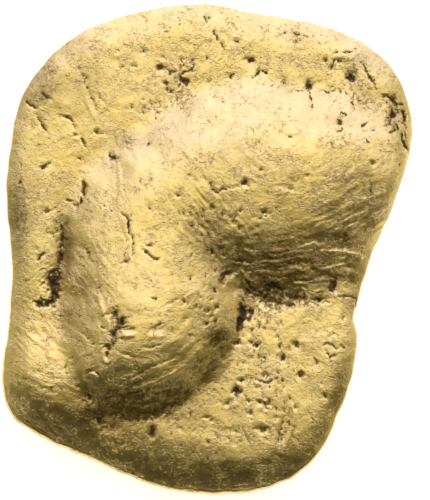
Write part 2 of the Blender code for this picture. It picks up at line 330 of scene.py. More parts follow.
# Raised lines and lips that catch the light: half width, height, then the points they run through
LIPS = (
    # Valley
    (1.6, 0.075, (320, 250), (332, 249.6), (346, 251), (362, 255)),
    (1.7, 0.075, (287.4, 267.6), (296, 266.6), (303.8, 269.6), (310.3, 266)),
    (1.5, 0.05, (318, 268.5), (330, 266.5), (344, 263)),
    (1.4, 0.045, (298, 247), (310, 243), (322, 243.5)), (1.3, 0.04, (240, 247), (250, 251), (256, 256)),
    (1.3, 0.04, (249, 262), (253, 270), (260, 277)), (1.3, 0.04, (240, 268), (246, 276), (252, 282)),
    # Right slope
    (1.5, 0.03, (352, 206.6), (366, 198), (388, 190)), (1.5, 0.03, (372, 216), (380, 211), (390, 203)),
    (1.4, 0.024, (322, 216), (345, 206), (372, 190)),
    # Left line, edge nick and gouge
    (1.4, 0.016, (118, 160.7), (119.8, 177.4), (119.3, 196.6)), (1.6, 0.03, (401, 151.5), (407, 151.5)),
    (1.3, 0.04, (292.6, 404.2), (294.2, 418), (289.6, 433), (280.2, 452.2)),
    # Lobe's foot, lower rim and plate
    (1.6, 0.03, (112, 391), (137, 387.4), (164.5, 376.8), (192, 360.3)),
    (4, 0.03, (185, 483), (215, 486), (245, 486), (272, 479)),
    (1.3, 0.03, (164.5, 413.8), (172.8, 409.7)), (1.4, 0.024, (116.5, 447.4), (137, 442)),
    # Lips of the curl and arc, field ridge and top line
    (1.2, 0.03, (84, 376.5), (90, 373), (95.5, 374), (98.5, 378.5)),
    (1.2, 0.024, (103.2, 358), (107, 361.4), (110.7, 357)),
    (1.7, 0.016, (83.5, 92), (90, 108), (96.5, 122)), (1.3, 0.012, (300, 37), (318, 38), (334, 39.5)),
)

# Flats that tip towards the light: x, y, half width, half height, tilt up to the lower side
TIPPED_FLATS = (
    # Chips and plates
    (126, 331.5, 8, 4.4, 0.066), (156, 331.5, 7, 5, 0.045), (127, 446.5, 11, 3.4, 0.05),
    (108, 431, 14, 6, 0.05), (232.6, 401, 5, 4, 0.026),
    # Small pit's lip, the crest's slope and left of the valley
    (75.6, 136.4, 2.6, 2, 0.022), (283, 188, 7, 4, 0.03), (238, 290, 6, 4, 0.04),
)

# Broad parts of the skin that tip a little towards the light with their dirt, or where the tilt is below 0,
# away from it: x, y, half width, half height, tilt up to the lower side
BROAD_TIPS = (
    # Crest, saddle and lobe
    (288, 187, 17, 12, 0.018), (210, 211, 16, 12, 0.018), (164, 211, 14, 11, 0.01),
    (164, 338, 13, 10, 0.016),
    # Ends of the valley, and right field
    (236, 292, 10, 9, 0.018), (338, 311, 14, 11, 0.014), (343, 285, 11, 9, 0.018),
    # Left end of the hump's bright side, and speckled patch
    (189, 108, 14, 12, 0.009), (186, 64, 14, 11, 0.009),
    # Lower field
    (211, 437, 16, 11, 0.014), (262, 413, 13, 11, 0.014),
    # Darker parts
    (264, 313, 13, 11, -0.008), (288, 362, 13, 11, -0.007), (62, 313, 12, 11, -0.007),
)

# Broad dull patches, partly tarnish and partly painted shade on slopes that face away from the light: x, y,
# half width, half height, strength
STAINS_AND_PAINTED_SHADE = (
    # Left rim, groove and left field
    (39, 96, 15, 9, 0.75), (19, 210, 12, 34, 0.6), (66, 243, 8, 32, 0.6), (84, 82, 18, 24, 0.25),
    (86, 212, 8, 12, 0.35), (46, 84, 18, 28, 0.5), (74, 48, 22, 14, 0.3), (34, 198, 12, 26, 0.3),
    (60, 188, 14, 16, 0.25), (84, 300, 16, 34, 0.3), (66, 318, 14, 16, 0.5), (122, 310, 22, 10, 0.22),
    # Top and right
    (176, 80, 20, 26, 0.12), (306, 36, 28, 10, 0.2), (290, 84, 14, 9, 0.25), (362, 62, 15, 12, 0.35),
    (364, 94, 17, 20, 0.3), (396, 116, 9, 30, 0.45), (338, 118, 11, 9, 0.25), (358, 200, 36, 32, 0.52),
    (339, 235, 17, 10, 1), (340, 380, 9, 34, 0.45),
    # Hump
    (124, 138, 20, 10, 0.42), (238, 150, 34, 16, 0.2), (206, 238, 20, 13, 0.38), (217, 338, 14, 17, 1),
    (207, 364, 17, 12, 1), (172, 390, 26, 13, 1),
    # Valley
    (286, 260, 60, 26, 0.98), (215, 250, 14, 26, 0.4), (211, 284, 10, 10, 0.5), (262, 238, 26, 11, 0.55),
    # Lower part
    (90, 412, 18, 13, 1), (134, 397, 56, 20, 1.05), (124, 411, 52, 13, 1.05), (176, 446, 34, 12, 0.35),
    (66, 388, 16, 10, 0.5), (52, 418, 46, 18, 0.5), (215, 468, 92, 13, 0.5),
)

# Patches that are rubbed smoother than the rest, or where the strength is below 0, are rougher: x, y, half
# width, half height, strength
CALMS = {
    "hump's bright side": (285, 108, 60, 24, 0.2),
    "its left part": (195, 128, 50, 24, 0.2),
    "lobe": (135, 250, 36, 70, 0.4),
    "valley": (285, 262, 60, 28, -0.5),
    "right slope": (352, 202, 38, 36, -0.6),
    "saddle": (212, 228, 34, 36, -0.25),
    "left field": (76, 118, 44, 50, 0.6),
    "west slope": (84, 300, 18, 44, -0.4),
    "lower left rim": (60, 425, 60, 24, 0.2),
    "lower rim": (215, 470, 90, 14, 0.2),
    "lower right field": (290, 328, 40, 14, 0.5),
}

# Patches of specks and crescents: x, y, half width, half height, share of places with a speck, crescents
SPECKLES = {
    "speckled patch": (180, 82, 20, 24, 0.45, 70),
    "field and hump crease": (152, 106, 16, 9, 0.32, 26),
    "right edge": (392, 118, 12, 30, 0.6, 26),
    "round pit's side": (350, 84, 30, 34, 0.25, 18),
    "valley": (268, 266, 56, 24, 0.1, 50),
    "below the valley's foot": (262, 314, 16, 10, 0.6, 16),
    "valley's foot": (272, 300, 50, 14, 0.75, 46),
    "west slope": (76, 290, 22, 60, 0.35, 24),
    "left edge": (22, 215, 12, 40, 0.35, 8),
    "lower field": (258, 366, 44, 54, 0.42, 110),
    "lower field's end": (225, 430, 66, 30, 0.15, 34),
    "saddle": (214, 236, 30, 34, 0.18, 40),
    "above the valley": (250, 217, 26, 12, 0.35, 26),
    "lobe": (198, 312, 34, 26, 0.3, 24),
    "cluster": (114, 320, 12, 18, 0.7, 26),
    "groove": (60, 244, 10, 50, 0.55, 22),
    "corner field": (122, 432, 44, 14, 0.25, 22),
    "everywhere": (207, 250, 400, 400, 0.12, 260),
}

# Patches of parallel wrinkles: x, y, half width, half height, heading in degrees, wrinkle width, height
STREAKS = {
    "right slope": (350, 214, 38, 38, 27, 5, 0.034),
    "valley": (288, 262, 54, 22, 4, 5.2, 0.046),
    "lobe's lower slope": (140, 384, 46, 20, 12, 5, 0.024),
    "lobe's right slope": (206, 352, 26, 26, 42, 5, 0.022),
    "corner": (48, 396, 42, 30, -17, 4.6, 0.02),
    "corner lump": (44, 338, 34, 30, -38, 4.2, 0.02),
    "west slope": (88, 288, 22, 46, -62, 4.6, 0.028),
    "lower edge": (230, 470, 100, 18, 6, 4.6, 0.02),
    "lower left rim": (66, 426, 60, 16, -27, 4.2, 0.018),
    "saddle": (214, 222, 40, 34, -52, 4.6, 0.022),
    "top": (300, 40, 80, 26, -8, 6, 0.008),
    "hump's bright side": (262, 112, 66, 24, -14, 7, 0.01),
    "lower field's end": (262, 432, 40, 24, 104, 5, 0.01),
}

# The crumpled skin all over: wrinkle width in pixels, height in millimetres
CRUMPLES = ((34, 0.012), (17, 0.006), (9, 0.0045), (5, 0.0022))

# How high a crumple's swells stand, and how steeply they fall to its creases, in shares of its height
RIDGE_TOP = 0.45
RIDGE_STEEPNESS = 1.6

# How far the skin's wrinkles and the marks' edges are bent to and fro and over what width, and how wide the
# rags in a pit's outline are, in pixels
SKIN_WARP = 5
SKIN_WARP_WIDTH = 19
EDGE_WARP = 1.2
EDGE_WARP_WIDTH = 4
RAG_WIDTH = 3

# Streaks: how many times as long as wide they are, and how far they sway and over what width, in pixels
STREAK_LENGTH = 5
STREAK_SWAY = 3
STREAK_SWAY_WIDTH = 22

# How far and how widely the large forms sway, in millimetres
SWAY = 0.14
SWAY_WIDTH = 1.3

# Lumps of the plainer lower face and the edge, in millimetres, and the lower face's stain, dirt and specks
LOWER_LUMP_WIDTH = 1.3
LOWER_LUMP_HEIGHT = 0.018
OUTLINE_WAVER_WIDTH = 0.55
OUTLINE_WAVER = 0.030
LOWER_STAIN = 0.25
LOWER_DIRT = 0.3
LOWER_SPECKS = 0.12

# How deep the fine relief goes before it holds full dirt
DIRT_DEPTH = 0.045

# How deep a crack goes before it holds full dirt, the least half width that the mesh shows unbroken, and
# what share of a crack its ends are
FULL_DIRT_DEPTH = 0.042
THINNEST_CRACK = 1.2
CRACK_END = 0.25

# How high a lip stands before it is rubbed bare of stains and painted shade, how much of a stain or painted
# shade a wrinkle's crest loses and its trough gains, how high up the wrinkle that is full, and the most that
# a trough gains
BARE_LIP = 0.05
STREAK_RUBBING = 0.75
STREAK_CREST = 0.35
MOST_GAIN = 0.5

# How far out a pit's wall reaches, how tight and ragged its outline is, how much dirt a deep pit holds, how
# deep that is and the share that a shallow one holds, how far its dirt reaches and how far up it lies, and
# how much dirt a crack holds and how far that reaches
PIT_WALL = 1.5
PIT_TIGHTNESS = 1.15
PIT_RAGGEDNESS = 0.75
PIT_DIRT = 1.6
DEEP_PIT = 0.09
SHALLOW_SHARE = 0.5
PIT_DIRT_SPREAD = 1.1
DIRT_SHIFT = 0.05
CRACK_DIRT = 1.42
CRACK_DIRT_SPREAD = 0.65

# How far out a pit, a line and a tip are worked out, in times their half width
PIT_REACH = 4
LINE_REACH = 3
TIP_REACH = 2.5

# Random crescents: scatter in shares of the patch, least and greatest length, bend in shares of that, and
# least and greatest half width and depth
SCATTER = 0.6
CRESCENT_LENGTHS = (2.5, 6)
CRESCENT_BEND = 0.30
CRESCENT_HALF_WIDTHS = (0.8, 1.3)
CRESCENT_DEPTHS = (0.008, 0.030)

# Seeds of the random forms. A form that needs more than one takes the next ones too.
OUTLINE_SEED = 5
SPECKLE_SEED = 7
LUMP_SEED = 8
EDGE_WARP_SEED = 11
RAG_SEED = 13
SKIN_WARP_SEED = 21
CRUMPLE_SEED = 31
SWAY_SEED = 41
STREAK_SEED = 60
STREAK_SEED_STEP = 3
STREAK_SWAY_SEED = 500

# Points of a smooth curve from one given point to the next, and cells of the noise before it repeats
OUTLINE_STEPS = 12
LINE_STEPS = 6
NOISE_CELLS = 512


def catmull_rom(before, start, end, after, t):
    return 0.5 * (
        2 * start
        + (end - before) * t
        + (2 * before - 5 * start + 4 * end - after) * t**2
        + (3 * start - before - 3 * end + after) * t**3
    )


def smooth_line(points, steps):
    """An open smooth curve through the points, with some steps from each point to the next."""
    p = np.array(points, float)
    p = np.vstack((2 * p[0] - p[1], p, 2 * p[-1] - p[-2]))
    rows = [catmull_rom(p[:-3], p[1:-2], p[2:-1], p[3:], t) for t in np.arange(steps) / steps]
    return np.vstack((np.stack(rows, 1).reshape(-1, p.shape[1]), p[-2]))


def noise(x, y, seed):
    """Smooth random heights on a plane, from about -1 to 1 and about one wave to a unit."""
    rng = np.random.default_rng(seed)
    shuffled = rng.permutation(NOISE_CELLS)
    turns = rng.uniform(0, 2 * math.pi, NOISE_CELLS)
    left, low = np.floor(x).astype(int), np.floor(y).astype(int)
    fx, fy = x - left, y - low

    def corner(dx, dy):
        turn = turns[shuffled[(shuffled[(left + dx) % NOISE_CELLS] + low + dy) % NOISE_CELLS]]
        return np.cos(turn) * (fx - dx) + np.sin(turn) * (fy - dy)

    u, v = (f**3 * (f * (6 * f - 15) + 10) for f in (fx, fy))
    near = corner(0, 0) * (1 - u) + corner(1, 0) * u
    far = corner(0, 1) * (1 - u) + corner(1, 1) * u
    return 1.5 * (near * (1 - v) + far * v)


def rich_noise(x, y, seed):
    """Noise with waves of half its width and height on top."""
    return noise(x, y, seed) + 0.5 * noise(2 * x, 2 * y, seed + 1)


def turned(x, y, heading):
    """Places along and across a heading in degrees."""
    turn = math.radians(heading)
    return x * math.cos(turn) + y * math.sin(turn), y * math.cos(turn) - x * math.sin(turn)


def centred_outline():
    """The smooth outline with its box centred on the origin, and as long as LENGTH."""
    p = np.array(OUTLINE)
    before, end, after = np.roll(p, 1, 0), np.roll(p, -1, 0), np.roll(p, -2, 0)
    rows = [catmull_rom(before, p, end, after, t) for t in np.arange(OUTLINE_STEPS) / OUTLINE_STEPS]
    loop = np.stack(rows, 1).reshape(-1, 2)
    low, high = loop.min(0), loop.max(0)
    return (loop - (low + high) / 2) * LENGTH / (high - low)[1]


def outline_radius(outline, bearing):
    """How far the outline lies from the origin in each direction."""
    bearings = np.arctan2(outline[:, 1], outline[:, 0])
    order = np.argsort(bearings)
    radii = np.hypot(outline[:, 0], outline[:, 1])[order]
    return np.interp(bearing, bearings[order], radii, period=2 * math.pi)


def hump_rise(x, y):
    """The soft envelope of a row of domes along the crest, wider on one side than on the other. Two tiny
    numbers keep it from a division by 0 and from the logarithm of 0."""
    crest = smooth_line(CREST, CREST_STEPS)
    run = np.gradient(crest[:, :2], axis=0)
    run = run / np.hypot(run[:, 0], run[:, 1])[:, None]
    total = np.zeros(x.shape)
    for (crest_x, crest_y, rise, outer, inner), (run_x, run_y) in zip(crest, run):
        dx, dy = x - crest_x, y - crest_y
        distance = np.hypot(dx, dy) + 1e-9
        outwards = (dx * run_y - dy * run_x) / distance
        share = distance / ((outer + inner) / 2 + outwards * (outer - inner) / 2)
        fall = HUMP_FALL * (share**2 * (1 + outwards) + share**INNER_POWER * (1 - outwards)) / 2
        total += np.exp((rise - fall) / HUMP_SOFTNESS) * CREST_WEIGHT / CREST_STEPS
    return HUMP_SOFTNESS * np.log(total + 1e-300)


def swell_height(x, y, centre_x, centre_y, heading, half_length, half_width, height):
    """A smooth bump or hollow, longer along its heading."""
    along, across = turned(x - centre_x, y - centre_y, heading)
    return height * np.exp(-((along / half_length) ** 2) - (across / half_width) ** 2)


def filleted_max(a, b, fillet):
    """The higher of two surfaces, with a small fillet where they cross."""
    return np.maximum(a, b) + np.maximum(fillet - np.abs(a - b), 0) ** 2 / (4 * fillet)


def upper_face(x, y):
    """Height of the struck side, before its edge is rounded and without its fine relief. Its places sway to
    and fro a little, so that its large forms have worn, uneven edges."""
    wide = x / SWAY_WIDTH, y / SWAY_WIDTH
    x, y = x + SWAY * rich_noise(*wide, SWAY_SEED), y + SWAY * rich_noise(*wide, SWAY_SEED + 2)
    height = FIELD_HEIGHT + filleted_max(FIELD_CLIMB * y, hump_rise(x, y), HUMP_FILLET)
    for swell in SWELLS.values():
        height = height + swell_height(x, y, *swell)
    return height


def lower_face(share, bearing):
    """Height of the dished side, by the share of the way out to the edge and the direction."""
    inside = np.clip(share / (LAND_FROM + LAND_SWING * np.sin(2 * bearing)), 0, 1)
    bowl = (1 - inside**2) ** 2
    rays = RAY_HEIGHT * np.cos(RAY_COUNT * bearing) * inside * bowl
    return DISH_DEPTH * bowl - rays


class FineRelief:
    """The marks, wrinkles and dirt of the struck side, at their places in pixels of the photograph. High
    places show further from the photograph's middle there, because they are nearer to its camera."""

    def __init__(self, x, y, z):
        nearer = CAMERA_DISTANCE / (CAMERA_DISTANCE + EDGE_HEIGHT - z)
        middle_x, middle_y = PHOTO_SIZE[0] / 2, PHOTO_SIZE[1] / 2
        self.px = middle_x + (MIDDLE_PX[0] + x / PIXEL - middle_x) * nearer - SHADED_SIDE[0]
        self.py = middle_y + (MIDDLE_PX[1] - y / PIXEL - middle_y) * nearer - SHADED_SIDE[1]
        self.wx = self.px + EDGE_WARP * self.noise(EDGE_WARP_WIDTH, EDGE_WARP_SEED)
        self.wy = self.py + EDGE_WARP * self.noise(EDGE_WARP_WIDTH, EDGE_WARP_SEED + 1)
        self.ragged = PIT_TIGHTNESS + PIT_RAGGEDNESS * self.noise(RAG_WIDTH, RAG_SEED)
        self.height, self.dirt, self.stain_and_shade, self.speck, self.calm, self.rubbed = np.zeros((6, *x.shape))

    def noise(self, width, seed):
        return noise(self.px / width, self.py / width, seed)

    def patch(self, x, y, half_width, half_height):
        """1 in the middle of a patch, fading to 0 beyond its half width and half height."""
        return np.exp(-(((self.px - x) / half_width) ** 2) - ((self.py - y) / half_height) ** 2)

    def near(self, x, y, reach):
        """The points within reach of a place, and how far right of it and below it they lie."""
        at = np.nonzero((np.abs(self.wx - x) < reach) & (np.abs(self.wy - y) < reach))[0]
        return at, self.wx[at] - x, self.wy[at] - y

    def pit(self, x, y, half_width, half_height, depth):
        """A hollow whose dirt lies on its shaded upper side, so that its lower wall stays bare."""
        at, across, down = self.near(x, y, PIT_REACH * max(half_width, half_height))
        across, down = across / half_width * self.ragged[at], down / half_height * self.ragged[at]
        self.height[at] -= depth / (1 + (across**2 + down**2) ** 2 / PIT_WALL)
        held = PIT_DIRT * np.clip(depth / DEEP_PIT, SHALLOW_SHARE, 1)
        held = held * np.exp(-(across**2 + (down + DIRT_SHIFT) ** 2) / PIT_DIRT_SPREAD)
        self.dirt[at] = np.maximum(self.dirt[at], held)

    def line(self, half_width, depth, points):
        """A crack along a smooth line that thins out at its ends. A negative depth is a raised lip."""
        path = smooth_line(points, LINE_STEPS)
        middle = (path.min(0) + path.max(0)) / 2
        at = self.near(*middle, np.ptp(path, axis=0).max() / 2 + LINE_REACH * half_width)[0]
        wx, wy = self.wx[at], self.wy[at]
        nearest = np.full(at.shape, np.inf)
        taper = np.zeros(at.shape)
        for i, ((x, y), run) in enumerate(zip(path, np.diff(path, axis=0))):
            t = np.clip(((wx - x) * run[0] + (wy - y) * run[1]) / (run @ run), 0, 1)
            gap = np.hypot(wx - x - t * run[0], wy - y - t * run[1])
            share = (i + t) / (len(path) - 1)
            taper = np.where(gap < nearest, np.sqrt(4 * share * (1 - share)), taper)
            nearest = np.minimum(nearest, gap)
        ends = CRACK_END + (1 - CRACK_END) * taper
        spread = (nearest / half_width) ** 2
        ridge = ends * np.exp(-spread)
        self.height[at] -= depth * ridge
        self.rubbed[at] = np.maximum(self.rubbed[at], ridge * np.clip(-depth / BARE_LIP, 0, 1))
        held = CRACK_DIRT * np.clip(depth / FULL_DIRT_DEPTH, 0, 1) * ends
        self.dirt[at] = np.maximum(self.dirt[at], held * np.exp(-spread / CRACK_DIRT_SPREAD))

    def tip(self, x, y, half_width, half_height, tilt):
        """A part of the skin whose lower side stands up, so that it faces the light."""
        at, right, below = self.near(x, y, TIP_REACH * max(half_width, half_height))
        shape = np.exp(-((right / half_width) ** 4) - (below / half_height) ** 4)
        self.height[at] += tilt * shape * below / half_height
        return at, shape

    def speckles(self, rng, x, y, half_width, half_height, share, count):
        """Specks for the material and small random crescents, thickest in the middle of a patch."""
        self.speck = np.maximum(self.speck, share * self.patch(x, y, half_width, half_height))
        for _ in range(count):
            cx, cy = x + half_width * rng.normal(0, SCATTER), y + half_height * rng.normal(0, SCATTER)
            turn, length = rng.uniform(0, math.pi), rng.uniform(*CRESCENT_LENGTHS)
            bend = rng.normal(0, CRESCENT_BEND) * length
            ax, ay = math.cos(turn) * length / 2, math.sin(turn) * length / 2
            top = (cx - ay * bend / length, cy + ax * bend / length)
            points = ((cx - ax, cy - ay), top, (cx + ax, cy + ay))
            self.line(rng.uniform(*CRESCENT_HALF_WIDTHS), rng.uniform(*CRESCENT_DEPTHS), points)

    def streaks(self, seed, x, y, half_width, half_height, heading, width, height):
        """Wrinkles that run one way over a patch."""
        along, across = turned(self.px - x, y - self.py, heading)
        sway = STREAK_SWAY * self.noise(STREAK_SWAY_WIDTH, STREAK_SWAY_SEED + seed)
        wave = rich_noise(along / (width * STREAK_LENGTH), (across + sway) / width, seed)
        patch = self.patch(x, y, half_width, half_height)
        self.height += height * patch * wave
        self.rubbed += STREAK_RUBBING * patch * np.clip(wave / STREAK_CREST, -1, 1)

    def crumple(self):
        """The skin all over: creases between rounded swells of several sizes, bent by a slower noise."""
        wx = self.px + SKIN_WARP * self.noise(SKIN_WARP_WIDTH, SKIN_WARP_SEED)
        wy = self.py + SKIN_WARP * self.noise(SKIN_WARP_WIDTH, SKIN_WARP_SEED + 1)
        for i, (width, height) in enumerate(CRUMPLES):
            crease = np.abs(noise(wx / width, wy / width, CRUMPLE_SEED + i))
            self.height += height * (RIDGE_TOP - RIDGE_STEEPNESS * crease)

    def make(self):
        rng = np.random.default_rng(SPECKLE_SEED)
        self.crumple()
        for i, streak in enumerate(STREAKS.values()):
            self.streaks(STREAK_SEED + STREAK_SEED_STEP * i, *streak)
        for speckle in SPECKLES.values():
            self.speckles(rng, *speckle)
        for half_width, depth, *points in CRACKS:
            self.line(max(half_width, THINNEST_CRACK), depth, points)
        for half_width, height, *points in LIPS:
            self.line(half_width, -height, points)
        for pit in PITS:
            self.pit(*pit)
        for flat in TIPPED_FLATS:
            at, shape = self.tip(*flat)
            self.dirt[at] *= 1 - shape
        for tip in BROAD_TIPS:
            self.tip(*tip)
        # Stains and painted shade: tarnish, and shade painted on slopes that face away from the light
        for *place, strength in STAINS_AND_PAINTED_SHADE:
            self.stain_and_shade = np.maximum(self.stain_and_shade, strength * self.patch(*place))
        self.stain_and_shade *= 1 - np.clip(self.rubbed, -MOST_GAIN, 1)
        for *place, strength in CALMS.values():
            self.calm += strength * self.patch(*place)
        return self


def disc_of_square(u, v):
    """(share of the way out, bearing) on a disc for each place of a square grid, ring for ring."""
    wide = np.abs(u) >= np.abs(v)
    with np.errstate(divide="ignore", invalid="ignore"):
        slant = np.where(wide, v / u, u / v)
    slant = np.nan_to_num(slant) * math.pi / 4
    beside = slant + np.where(u < 0, math.pi, 0)
    above = np.where(v < 0, -1, 1) * math.pi / 2 - slant
    return np.maximum(np.abs(u), np.abs(v)), np.where(wide, beside, above)


def add_face(bm, cuts, outline, upper, marks, calm):
    """Adds a square grid and presses it into one face of the coin. Returns its outermost edges."""
    verts = bmesh.ops.create_grid(bm, x_segments=cuts, y_segments=cuts, size=1)["verts"]
    flat = np.array([v.co[:2] for v in verts])
    ring, bearing = disc_of_square(flat[:, 0], flat[:, 1])
    radius = outline_radius(outline, bearing)
    right, up = np.cos(bearing), np.sin(bearing)
    waver = noise(radius * right / OUTLINE_WAVER_WIDTH, radius * up / OUTLINE_WAVER_WIDTH, OUTLINE_SEED)
    radius = radius + OUTLINE_WAVER * (waver - 1)
    low_end = np.maximum(np.cos(bearing - math.radians(LOW_END_BEARING)), 0) ** LOW_END_POWER
    if upper:
        high_end = np.maximum(up, 0) ** HIGH_END_POWER
        rounding = UPPER_ROUNDING + LOW_END_ROUNDING * low_end + HIGH_END_ROUNDING * high_end
    else:
        rounding = LOWER_ROUNDING - LOWER_SWING * up
    bulge = BAND_BULGE + LOW_END_BULGE * low_end
    turn = np.clip((ring - 1 + BAND_SHARE) / ROUNDED_SHARE + 1, 0, 1) * math.pi / 2
    dip = np.clip((ring - 1) / BAND_SHARE + 1, 0, 1) * math.pi / 2
    inner = np.clip(ring / (1 - BAND_SHARE - ROUNDED_SHARE), 0, 1)
    out = inner * (radius - rounding) + np.sin(turn) * (rounding - bulge) + np.sin(dip) * bulge
    x, y = out * right, out * up
    if upper:
        face = upper_face(x, y) - (UPPER_DROP + LOW_END_DROP * low_end) * np.sin(turn) ** 2
        waist = EDGE_HEIGHT + WAIST_HEIGHT / 2
    else:
        dish = lower_face(out / radius, bearing)
        face = BAND_FOOT + (dish - BAND_FOOT) * np.cos(turn)
        waist = EDGE_HEIGHT - WAIST_HEIGHT / 2
    z = waist + np.cos(dip) * (face - waist)
    if upper:
        relief = FineRelief(x, y, z).make()
        z = z + relief.height * np.cos(dip)
        hollow = np.clip(-relief.height / DIRT_DEPTH, 0, 1)
        # The second channel holds the stains with their painted shade
        colours = np.stack((relief.dirt, relief.stain_and_shade, hollow, relief.speck), 1)
        rubbed = relief.calm
    else:
        lumps = noise(x / LOWER_LUMP_WIDTH, y / LOWER_LUMP_WIDTH, LUMP_SEED)
        dished = np.clip(dish / DISH_DEPTH, 0, 1)
        z = z + LOWER_LUMP_HEIGHT * lumps * dished
        hollow = LOWER_DIRT * np.clip(-lumps, 0, 1)
        rubbed = np.zeros(x.shape)
        colours = np.stack((rubbed, LOWER_STAIN * dished, hollow, rubbed + LOWER_SPECKS), 1)
    for vert, place, colour, share in zip(verts, zip(x, y, z), colours, rubbed):
        vert.co = place
        vert[marks] = colour
        vert[calm] = share
    return list({e for v in verts for e in v.link_edges if e.is_boundary})


def coin_mesh():
    """The closed body: two pressed faces, joined by the narrow wall at the widest part of the edge."""
    outline = centred_outline()
    bm = bmesh.new()
    marks = bm.verts.layers.float_color.new("marks")
    calm = bm.verts.layers.float.new("calm")
    upper_rim = add_face(bm, UPPER_CUTS, outline, True, marks, calm)
    lower_rim = add_face(bm, LOWER_CUTS, outline, False, marks, calm)
    bmesh.ops.bridge_loops(bm, edges=upper_rim + lower_rim)
    bmesh.ops.triangulate(bm, faces=bm.faces)
    bmesh.ops.recalc_face_normals(bm, faces=bm.faces)
    bmesh.ops.scale(bm, vec=(MM, MM, MM), verts=bm.verts)
    mesh = bpy.data.meshes.new("worn_stater")
    bm.to_mesh(mesh)
    bm.free()
    mesh.shade_smooth()
    return mesh


class Nodes:
    """Short ways to add nodes to a material or to the world."""

    def __init__(self, tree):
        self.tree = tree

    def add(self, kind, **inputs):
        node = self.tree.nodes.new("ShaderNode" + kind)
        for name, value in inputs.items():
            self.put(node.inputs[name.replace("_", " ")], value)
        return node

    def put(self, socket, value):
        if hasattr(value, "is_output"):
            self.tree.links.new(value, socket)
        else:
            socket.default_value = value

    def work(self, kind, operation, values):
        node = self.add(kind)
        node.operation = operation
        for socket, value in zip(node.inputs, values):
            self.put(socket, value)
        return node.outputs[0]

    def maths(self, operation, *values):
        return self.work("Math", operation, values)

    def times(self, a, b):
        return self.maths("MULTIPLY", a, b)

    def vectors(self, operation, *values):
        return self.work("VectorMath", operation, values)

    def span(self, value, low, high, to_low=0, to_high=1):
        node = self.add("MapRange", Value=value, From_Min=low, From_Max=high, To_Min=to_low, To_Max=to_high)
        return node.outputs["Result"]

    def mix(self, share, first, second):
        node = self.add("Mix")
        node.data_type = "RGBA"
        for socket, value in zip((0, 6, 7), (share, first, second)):
            self.put(node.inputs[socket], value)
        return node.outputs[2]

    def layer(self, below, cover, share, colour):
        """A colour over what lies below: as much of it as its share, where its cover is full."""
        return self.mix(self.times(cover, share), below, colour)

    def random(self, place, scale, detail, roughness):
        node = self.add("TexNoise", Vector=place, Scale=scale, Detail=detail, Roughness=roughness)
        return node.outputs[0]

    def attribute(self, name):
        node = self.add("Attribute")
        node.attribute_name = name
        return node.outputs


# Noises of the material: waves per metre, detail and roughness
FINE_NOISE = (6500, 4, 0.65)
GRAIN_NOISE = (15000, 2, 0.6)
CLOUD_NOISE = (420, 3, 0.6)
CLUMP_NOISE = (1500, 3, 0.6)
SPECK_NOISE = (7500, 3, 0.7)
SWAY_NOISE = (2500, 2)
STROKE_NOISE = (1, 2, 0.5)

# Short strokes: headings in degrees, waves per metre along, across and up, how far they sway in metres, the
# shift from one heading's noise to the next, the noise value where they begin, and how soft their rims are
STROKE_HEADINGS = (12, 68, 134)
STROKE_WAVES = (3400, 13500, 6000)
STROKE_SWAY = 0.0003
STROKE_SHIFT = (3, 7, 0)
STROKE_FROM = 0.60
STROKE_RIM = 0.10

# Specks: how far their noise is shifted, the noise value where they begin with no share, how far the share,
# the clumps and rubbing move it, and how soft their rims are
SPECK_SHIFT = (0.003, 0.001, 0.002)
SPECK_FROM = 0.74
SPECK_SHARE_PULL = 0.26
SPECK_CLUMP_PULL = 0.35
SPECK_CALM_PULL = 0.12
SPECK_RIM = 0.05

# Spans: the two values where a part of the material starts and is full, and what it is there if not 0 and 1
LIVELY_SPAN = (-1, 1, 1.75, 0.25)
RUBBED_SPAN = (0.38, 0.60, 0.25, 1)
DIMPLE_SPAN = (0.54, 0.70)
KNOB_SPAN = (0.46, 0.30)
GOLD_SPAN = (0.3, 0.7)
TARNISH_AND_SHADE_SPANS = ((0.25, 0.65, 0.72, 1), (0.38, 0.60, 0.62, 1.15), (0.35, 0.65, 0.80, 1.10))
THIN_SPAN = (0.35, 0.65, 0.35, 1)
DARK_SPECK_SPAN = (0.12, 0.40)
BROWN_SPAN = (0.36, 0.66)
EARTH_SPAN = (0.75, 1.15)
METALLIC_SPAN = (0, 1, 1, 0.5)
ROUGHNESS_SPAN = (0.3, 0.7, 0.27, 0.39)
LIFT_SPAN = (0, 0.6, 1, 1.5)

# Colours: the metal's two, the two of the specks, and of the layers with the share that shows of each
GOLDS = ((0.93, 0.70, 0.24, 1), (0.98, 0.76, 0.31, 1))
SPECKS = ((0.38, 0.235, 0.07, 1), (0.17, 0.095, 0.022, 1))
SPECKS_SHOWN = 0.85
# The stains' colour: tarnish, and painted shade on slopes that face away from the light
TARNISH_AND_SHADE = (1.35, (0.170, 0.112, 0.026, 1))
THIN_DIRT = (0.5, (0.45, 0.27, 0.075, 1))
GROOVE = (0.40, (0.40, 0.24, 0.065, 1))
DIMPLE = (0.50, (0.38, 0.23, 0.058, 1))
BROWN = (0.85, (0.155, 0.096, 0.020, 1))
EARTH = (0.055, 0.033, 0.011, 1)

# How much the fine noise eats into the dirt's rims, and how much rougher than metal the stains with their
# painted shade, and dirt are
DIRT_RAGGEDNESS = 2.2
TARNISH_AND_SHADE_ROUGHNESS = 0.03
DIRT_ROUGHNESS = 0.30

# How high the material's own relief stands in millimetres, and in shares of that its fine noise, and its
# grain, dimples, knobs, grooves, ridges and dents
BUMP_HEIGHT = 0.018
FINE_LIFT = 0.3
LIFTS = (0.40, -0.62, 0.40, -0.35, 0.20, -0.8)


def new_material(name):
    """A material, and the sockets of its shader."""
    material = bpy.data.materials.new(name)
    material.use_nodes = True
    return material, material.node_tree.nodes["Principled BSDF"].inputs


